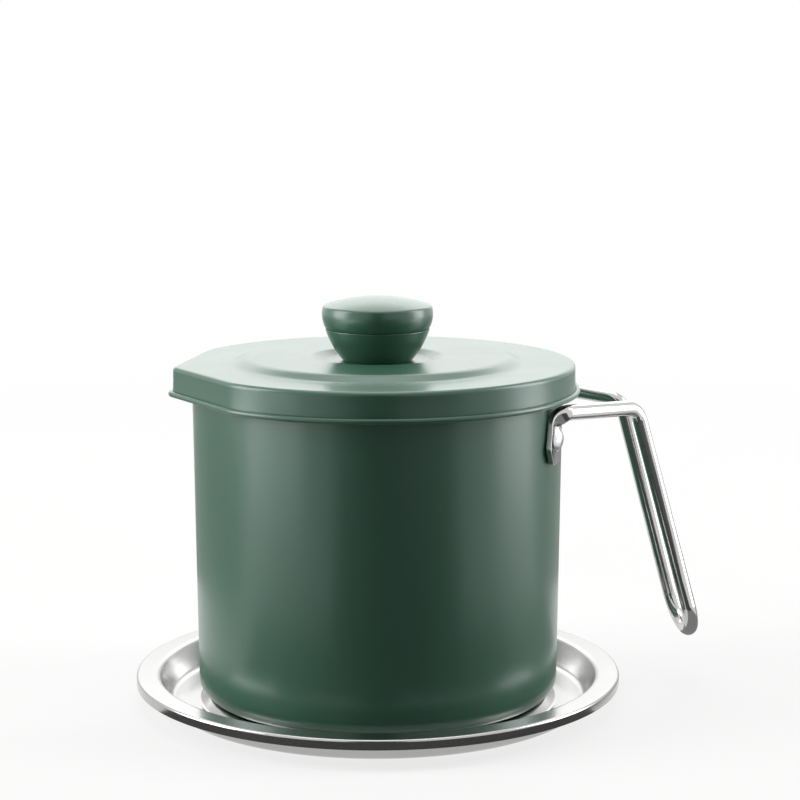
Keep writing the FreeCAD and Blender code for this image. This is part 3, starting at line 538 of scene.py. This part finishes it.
def screen_cell(inner, outer, start, end):
    """One plate of the screen with an eight-sided hole: four corners, then the edge of the hole."""
    base = len(screen_spots)
    for radius, angle in ((inner, start), (outer, start), (outer, end), (inner, end)):
        screen_spots.append((radius * math.cos(angle), radius * math.sin(angle)))
    middle, radius = (start + end) / 2, (inner + outer) / 2
    for i in range(8):
        turn = middle + math.pi + math.pi / 8 - i * math.pi / 4
        screen_spots.append((radius * math.cos(middle) + HOLE_RADIUS * math.cos(turn + math.pi / 4),
                             radius * math.sin(middle) + HOLE_RADIUS * math.sin(turn + math.pi / 4)))
    for i in range(4):
        near, far = base + i, base + (i + 1) % 4
        hole = [base + 4 + (2 * i + k) % 8 for k in range(3)]
        screen_faces.append((near, hole[0], hole[1]))
        screen_faces.append((near, hole[1], hole[2], far))


# Plates in rings round the centre, six more in each ring, then a plain edge and a plain centre.
for number in range(1, SCREEN_RINGS + 1):
    count = 6 * number
    for i in range(count):
        screen_cell((number - 0.5) * RING_PITCH, (number + 0.5) * RING_PITCH,
                    2 * math.pi * i / count, 2 * math.pi * (i + 1) / count)
edge_steps = 6 * SCREEN_RINGS
for radius in ((SCREEN_RINGS + 0.5) * RING_PITCH, SCREEN_EDGE):
    screen_spots += [(radius * math.cos(2 * math.pi * i / edge_steps),
                      radius * math.sin(2 * math.pi * i / edge_steps)) for i in range(edge_steps)]
inner_edge = len(screen_spots) - 2 * edge_steps
for i in range(edge_steps):
    after = (i + 1) % edge_steps
    screen_faces.append((inner_edge + i, inner_edge + edge_steps + i,
                         inner_edge + edge_steps + after, inner_edge + after))
screen_faces.append(tuple(range(len(screen_spots), len(screen_spots) + 6)))
screen_spots += [(0.5 * RING_PITCH * math.cos(i * math.pi / 3),
                  0.5 * RING_PITCH * math.sin(i * math.pi / 3)) for i in range(6)]
screen_mesh = bpy.data.meshes.new("screen_fine_mesh")
screen_mesh.from_pydata([(x * MM, y * MM, SCREEN_TOP * MM) for x, y in screen_spots], [], screen_faces)
screen = bpy.data.objects.new("screen_fine_mesh", screen_mesh)
bpy.context.scene.collection.objects.link(screen)
bpy.ops.object.select_all(action="DESELECT")
bpy.context.view_layer.objects.active = screen
screen.select_set(True)
bpy.ops.object.mode_set(mode="EDIT")
bpy.ops.mesh.select_all(action="SELECT")
bpy.ops.mesh.remove_doubles(threshold=0.002 * MM)
bpy.ops.mesh.normals_make_consistent(inside=False)
bpy.ops.object.mode_set(mode="OBJECT")
if screen.data.polygons[0].normal.z < 0:
    screen.data.flip_normals()
plate = screen.modifiers.new("sheet", "SOLIDIFY")
plate.thickness = SCREEN_SHEET * MM
plate.offset = -1
bpy.ops.object.modifier_apply(modifier=plate.name)
# The plate itself is bright, and its many holes make it read as an even grey from afar.
screen_steel = steel("punched_screen_steel", ("#d8d8d7", "#cececd"), 0.1, 0.2, 0.9)
finished(screen, screen_steel, "strainer", "screen_steel", "strainer_screen", edge=0)


# Lid: pressed from steel sheet, beaked like the rim, with a raised disc, a recess for the knob, and
# a skirt that ends in an outward bead. Outside it has the pot's green powder coat.
LID_SHEET = 0.5
SCREW_HOLE = 2.75
RECESS_TOP = 121.9
DISC_TOP = 123.6
RING_TOP = 121.4
SKIRT_RADIUS = 69.4
BEAD_CENTRE = Vector((70.2, 111.95))
BEAD_RADIUS = 0.95
# The flat ring has a point every 3 mm, because the beak is drawn out across it.
lid_top = rounded_line([
    (SCREW_HOLE, RECESS_TOP), (19.0, RECESS_TOP, 3.0), (23.0, DISC_TOP, 3.0), (46.4, DISC_TOP, 7.0),
    (51.0, RING_TOP, 7.0), *[(radius, RING_TOP) for radius in range(54, 67, 3)],
    (SKIRT_RADIUS, RING_TOP, 1.5), (SKIRT_RADIUS, 117.0), (SKIRT_RADIUS, 112.5)])
lid_bead = arc_round(BEAD_CENTRE, BEAD_RADIUS, 132, -168, 24)
green_lid = sheet_of(lid_top[:-1] + lid_bead, -COAT)


def skirt_share(radius, height):
    """How far the lid is drawn out to the beak: not at all at 54 mm from its middle, fully at 66 mm."""
    return (radius - 54) / 12


finished(beaked(spun("lid_green_coat", green_lid), skirt_share), green_coat, "lid", "lid_coat",
         "lid_shell", edge=0.04)
# The bare inside has the satin finish of the pot's inside, in rings round the knob.
lid_steel = steel("satin_lid_steel", ("#d0d0cf", "#c6c6c5"), 0.2, 0.3, 0.7)
lid_outline = beside(lid_top, -UNDER_COAT) + beside(lid_top, -LID_SHEET)[::-1]
finished(beaked(spun("lid_steel_inside", lid_outline), skirt_share), lid_steel, "lid", "lid_coat",
         "lid_shell", edge=0.04)


# Knob: two hollow steel stampings in the same green coat. The cap is pressed over the cup, and the
# seam between them stays open as a fine line.
KNOB_SHEET = 0.55
KNOB_STEPS = 128
cup_side = [Vector((12.0, RECESS_TOP))] + bow((12.0, RECESS_TOP), (18.3, 133.0), 30.0, 16)
cup_line = rounded_line([(0, RECESS_TOP), (12.0, RECESS_TOP, 0.7), *cup_side[2:], (18.3, 133.25)])
finished(spun("knob_cup_coated", sheet_of(cup_line, KNOB_SHEET), KNOB_STEPS), green_coat, "lid",
         "lid_coat", "knob_cup", edge=0.15)
cap_dome = [Vector((0, 144.3))] + bow((0, 144.3), (19.1, 141.2), -60.4, 16)
cap_side = bow((19.1, 141.2), (18.75, 134.4), -10.5, 12)
cap_line = rounded_line([*cap_dome[:-1], (19.1, 141.2, 1.1), *cap_side[2:-1], (18.75, 134.4, 1.5),
                         (18.2, 133.4, 0.3), (17.4, 133.4)])
finished(spun("knob_cap_coated", sheet_of(cap_line, -KNOB_SHEET), KNOB_STEPS), green_coat, "lid",
         "lid_coat", "knob_cap", edge=0)


# Fasteners: a plated steel screw and washer under the lid, and a nut inside the knob. They stay as
# the frame has them and take the dull grey of zinc plate.
# Zinc plate is a dull and slightly blue grey, which mirrors nothing clearly.
zinc = steel("zinc_plated_steel", ("#b9bcc0", "#a6aaae"), 0.28, 0.42, 0.5)
for name in ("knob_nut", "knob_washer", "knob_screw"):
    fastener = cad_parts[name]
    fastener.data.materials.clear()
    fastener.data.materials.append(zinc)


# Floor and studio: a plain pale floor under a white sky, two tall soft lamps at the sides, others
# behind and above, and pale and dark cards that only the gloss of the metal and the coat shows.
def seen_directly(tree):
    """1 for rays that show a background: the camera's, and those that gloss or glass passes on."""
    paths = add_node(tree, "ShaderNodeLightPath").outputs
    direct = add_node(tree, "ShaderNodeMath", {
        0: paths["Is Camera Ray"], 1: paths["Is Glossy Ray"]}, operation="MAXIMUM").outputs[0]
    return add_node(tree, "ShaderNodeMath", {
        0: direct, 1: paths["Is Transmission Ray"]}, operation="MAXIMUM").outputs[0]


bpy.ops.object.select_all(action="DESELECT")
bpy.ops.mesh.primitive_circle_add(vertices=128, radius=6, fill_type="NGON")
floor = bpy.context.object
floor.name = "floor"
# Matte paint takes the object's shadow, and turns to plain white away from it.
floor_paint, tree, shader = new_material("pale_floor", Roughness=0.9)
paint_shade = add_node(tree, "ShaderNodeMix", {
    "Factor": seen_directly(tree), 6: colour("#8a8a88"), 7: colour("#f4f4f2")},
    data_type="RGBA").outputs[2]
tree.links.new(paint_shade, shader.inputs["Base Color"])
place = add_node(tree, "ShaderNodeNewGeometry").outputs["Position"]
distance = add_node(tree, "ShaderNodeVectorMath", {0: place}, operation="LENGTH").outputs["Value"]
fade = add_node(tree, "ShaderNodeMapRange", {
    "Value": distance, "From Min": 0.2, "From Max": 0.8, "To Min": 0.75, "To Max": 1.0}).outputs[0]
share = add_node(tree, "ShaderNodeMath", {
    0: seen_directly(tree), 1: fade}, operation="MULTIPLY").outputs[0]
white = add_node(tree, "ShaderNodeEmission", {"Color": (1, 1, 1, 1), "Strength": 1.0}).outputs[0]
both = add_node(tree, "ShaderNodeMixShader", {0: share, 1: shader.outputs[0], 2: white}).outputs[0]
tree.links.new(both, tree.nodes["Material Output"].inputs["Surface"])
floor.data.materials.append(floor_paint)

world = bpy.data.worlds.new("white_sky")
world.use_nodes = True
bpy.context.scene.world = world
tree = world.node_tree
strength = add_node(tree, "ShaderNodeMapRange", {
    "Value": seen_directly(tree), "From Min": 0.0, "From Max": 1.0, "To Min": 0.1,
    "To Max": 1.0}).outputs[0]
tree.nodes["Background"].inputs["Color"].default_value = (1, 1, 1, 1)
tree.links.new(strength, tree.nodes["Background"].inputs["Strength"])

AIM = Vector((0, 0, 0.07))


def soft_lamp(name, bearing, distance, height, width, tall, glow):
    """A rectangular soft lamp at a bearing from +X in degrees, that faces the object. The glow is
    its brightness, where 1 is white."""
    lamp = bpy.data.lights.new(name, "AREA")
    lamp.shape = "RECTANGLE"
    lamp.size, lamp.size_y = width, tall
    lamp.energy = glow * math.pi * width * tall
    holder = bpy.data.objects.new(name, lamp)
    bpy.context.scene.collection.objects.link(holder)
    angle = math.radians(bearing)
    holder.location = (distance * math.cos(angle), distance * math.sin(angle), height)
    holder.rotation_mode = "QUATERNION"
    holder.rotation_quaternion = (AIM - holder.location).to_track_quat("-Z", "Y")
    holder.visible_camera = False


soft_lamp("lamp_left", 176, 0.95, 0.42, 0.6, 0.95, 5.8)
soft_lamp("lamp_right", 356, 1.0, 0.42, 0.5, 0.95, 5.8)
soft_lamp("lamp_behind", 82, 1.3, 0.9, 1.6, 0.5, 0.9)
soft_lamp("lamp_low_behind", 80, 0.6, 0.33, 0.9, 0.34, 0.8)
soft_lamp("lamp_above", 80, 0.15, 1.1, 0.9, 0.9, 1.6)


def gloss_only(card, shade):
    """Give a card its brightness, where 1 is white, and show it to glossy reflections alone."""
    paint, tree, shader = new_material(card.name + "_paint")
    glow = add_node(tree, "ShaderNodeEmission", {"Color": (1, 1, 1, 1), "Strength": shade}).outputs[0]
    tree.links.new(glow, tree.nodes["Material Output"].inputs["Surface"])
    card.data.materials.append(paint)
    for flag in ("visible_camera", "visible_diffuse", "visible_shadow", "visible_transmission"):
        setattr(card, flag, False)


def upright_card(name, bearing, distance, width, low, high, shade):
    """A card that stands round the object at a bearing and faces it."""
    angle = math.radians(bearing)
    bpy.ops.mesh.primitive_plane_add(size=1)
    card = bpy.context.object
    card.name = name
    card.scale = (width, high - low, 1)
    card.rotation_euler = (math.pi / 2, 0, angle + math.pi / 2)
    card.location = (distance * math.cos(angle), distance * math.sin(angle), (low + high) / 2)
    bpy.ops.object.transform_apply(location=True, rotation=True, scale=True)
    gloss_only(card, shade)


def floor_card(name, first, last, near, far, shade):
    """A part of a ring that lies on the floor round the object, between two bearings in degrees and
    two distances in metres."""
    bpy.ops.object.select_all(action="DESELECT")
    bpy.ops.mesh.primitive_plane_add(size=0.01)
    card = bpy.context.object
    card.name = name
    bpy.ops.object.mode_set(mode="EDIT")
    bpy.ops.mesh.merge(type="CENTER")
    bpy.ops.transform.translate(value=(near, 0, 0.001))
    bpy.ops.mesh.extrude_region_move(TRANSFORM_OT_translate={"value": (far - near, 0, 0)})
    bpy.ops.mesh.select_all(action="SELECT")
    bpy.ops.mesh.spin(steps=48, angle=math.radians(first - last), center=(0, 0, 0), axis=(0, 0, 1))
    bpy.ops.object.mode_set(mode="OBJECT")
    card.rotation_euler.z = math.radians(first)
    bpy.ops.object.transform_apply(location=True, rotation=True, scale=True)
    gloss_only(card, shade)


upright_card("card_front", 260, 1.15, 0.5, 0.0, 0.9, 0.02)
floor_card("card_left", 178, 216, 0.42, 1.0, 3.3)
floor_card("card_right", -26, 5, 0.42, 1.0, 3.2)
floor_card("card_left_rear", 105, 177, 0.2, 1.1, 0.4)
floor_card("card_right_rear", 6, 60, 0.2, 1.1, 0.45)
floor_card("card_table", 236, 306, 0.2, 1.1, 0.12)
# Painted shadow: these two dark rings lie on the floor where the tray's own shadow falls, and only
# reflections show them.
floor_card("card_shade", 190, 330, 0.09, 0.2, 0.08)
floor_card("card_shade_right", -30, 20, 0.1, 0.2, 0.3)


# Camera: the photograph's own place and lens, fitted to the pot. It stands about 0.8 m in front,
# slightly to the left, and looks a little downwards.
camera = bpy.data.objects.new("camera", bpy.data.cameras.new("camera"))
bpy.context.scene.collection.objects.link(camera)
camera.location = (-0.1348, -0.7886, 0.2383)
camera.rotation_euler = (math.radians(80.724), 0, math.radians(-10.265))
camera.data.lens = 103.5
camera.data.sensor_width = 36.0
bpy.context.scene.camera = camera
bpy.context.scene.view_settings.view_transform = "Standard"
